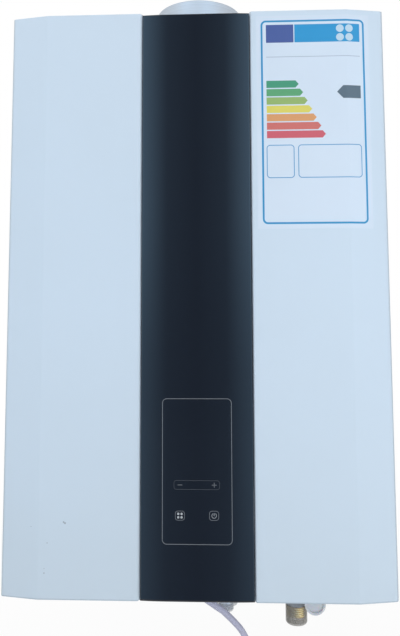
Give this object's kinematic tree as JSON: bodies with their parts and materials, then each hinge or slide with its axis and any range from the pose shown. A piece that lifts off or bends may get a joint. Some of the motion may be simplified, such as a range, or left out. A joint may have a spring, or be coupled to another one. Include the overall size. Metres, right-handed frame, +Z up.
{
  "type": "caravan water heater",
  "caption": "Wall-hung instantaneous gas water heater: folded white casing with a black glass touch strip, coaxial flue collar on top, capped pipe stubs, drain knob and mains lead below.",
  "frame": {"origin": "on the wall plane, on the centre line, level with the underside of the casing", "axes": "+X to the right seen from the front, +Y from the front towards the wall, +Z up"},
  "size_m": [0.3648, 0.1526, 0.7972],
  "materials": {
    "white_paint": "gloss",
    "black_glass": "gloss",
    "galvanised": "satin",
    "collar_metal": "satin",
    "copper": "satin",
    "brass": "satin",
    "cast_metal": "cast",
    "screw_steel": "bright",
    "foam": "matte",
    "red_silicone": "matte",
    "dark_plastic": "matte",
    "pale_plastic": "matte",
    "circuit_board": "satin",
    "coil_lacquer": "gloss",
    "ceramic": "satin",
    "grey_cap": "satin",
    "clear_cap": "satin",
    "knob_plastic": "satin",
    "cord_vinyl": "satin",
    "soft_tube": "satin"
  },
  "bodies": {
    "casing": {"front_cover": "white_paint", "glass_panel": "black_glass", "panel_tape": "foam", "touch_housing": "dark_plastic", "touch_board": "circuit_board", "back_panel": "galvanised", "top_panel": "galvanised", "bottom_panel": "galvanised", "cover_seals": "foam", "cover_screws": "screw_steel", "support_brackets": "galvanised", "flue_collar": "collar_metal", "flue_flange": "collar_metal", "flue_gasket": "red_silicone", "flue_screws": "screw_steel", "exhaust_spigot": "galvanised", "fan_scroll": "galvanised", "fan_plate": "galvanised", "fan_motor": "cast_metal", "flue_hood": "galvanised", "exchanger_shell": "copper", "exchanger_fins": "copper", "exchanger_tubes": "copper", "overheat_switch": "cast_metal", "burner_tray": "galvanised", "burner_bars": "galvanised", "ignition_electrodes": "ceramic", "gas_manifold": "cast_metal", "gas_jets": "brass", "gas_valve": "cast_metal", "gas_solenoids": "coil_lacquer", "gas_inlet": "cast_metal", "water_inlet": "brass", "flow_sensor": "dark_plastic", "cold_pipe": "copper", "hot_pipe": "copper", "hot_outlet": "brass", "drain_seal": "foam", "control_box": "pale_plastic", "control_board": "circuit_board", "control_lid": "pale_plastic", "spark_igniter": "dark_plastic", "pressure_switch": "dark_plastic", "pressure_hose": "soft_tube", "cord_relief": "cord_vinyl", "cord_lead": "cord_vinyl", "cord_coil": "cord_vinyl", "cord_tie": "dark_plastic", "plug_body": "cord_vinyl", "plug_pins": "screw_steel"},
    "impeller": {"fan_impeller": "galvanised"},
    "flow_wheel": {"flow_rotor": "pale_plastic"},
    "drain": {"drain_knob": "knob_plastic"},
    "cold_cover": {"cold_cap": "grey_cap"},
    "gas_cover": {"gas_cap": "clear_cap"},
    "hot_cover": {"hot_cap": "clear_cap"}
  },
  "joints": [
    {"name": "fan_spin", "type": "hinge", "parent": "casing", "child": "impeller", "pos_m": [-0.0535, -0.07, 0.4492], "axis": [0, 1, 0], "continuous": true},
    {"name": "flow_spin", "type": "hinge", "parent": "casing", "child": "flow_wheel", "pos_m": [0.095, -0.078, 0.0556], "axis": [0, 0, 1], "continuous": true},
    {"name": "drain_turn", "type": "hinge", "parent": "casing", "child": "drain", "pos_m": [0.111, -0.09, -0.0224], "axis": [0, -1, 0], "range_deg": [0, 180]},
    {"name": "cold_cap_pull", "type": "slide", "parent": "casing", "child": "cold_cover", "axis": [0, 0, -1], "range_m": [0, 0.06]},
    {"name": "gas_cap_pull", "type": "slide", "parent": "casing", "child": "gas_cover", "axis": [0, 0, -1], "range_m": [0, 0.06]},
    {"name": "hot_cap_pull", "type": "slide", "parent": "casing", "child": "hot_cover", "axis": [0, 0, -1], "range_m": [0, 0.06]}
  ]
}
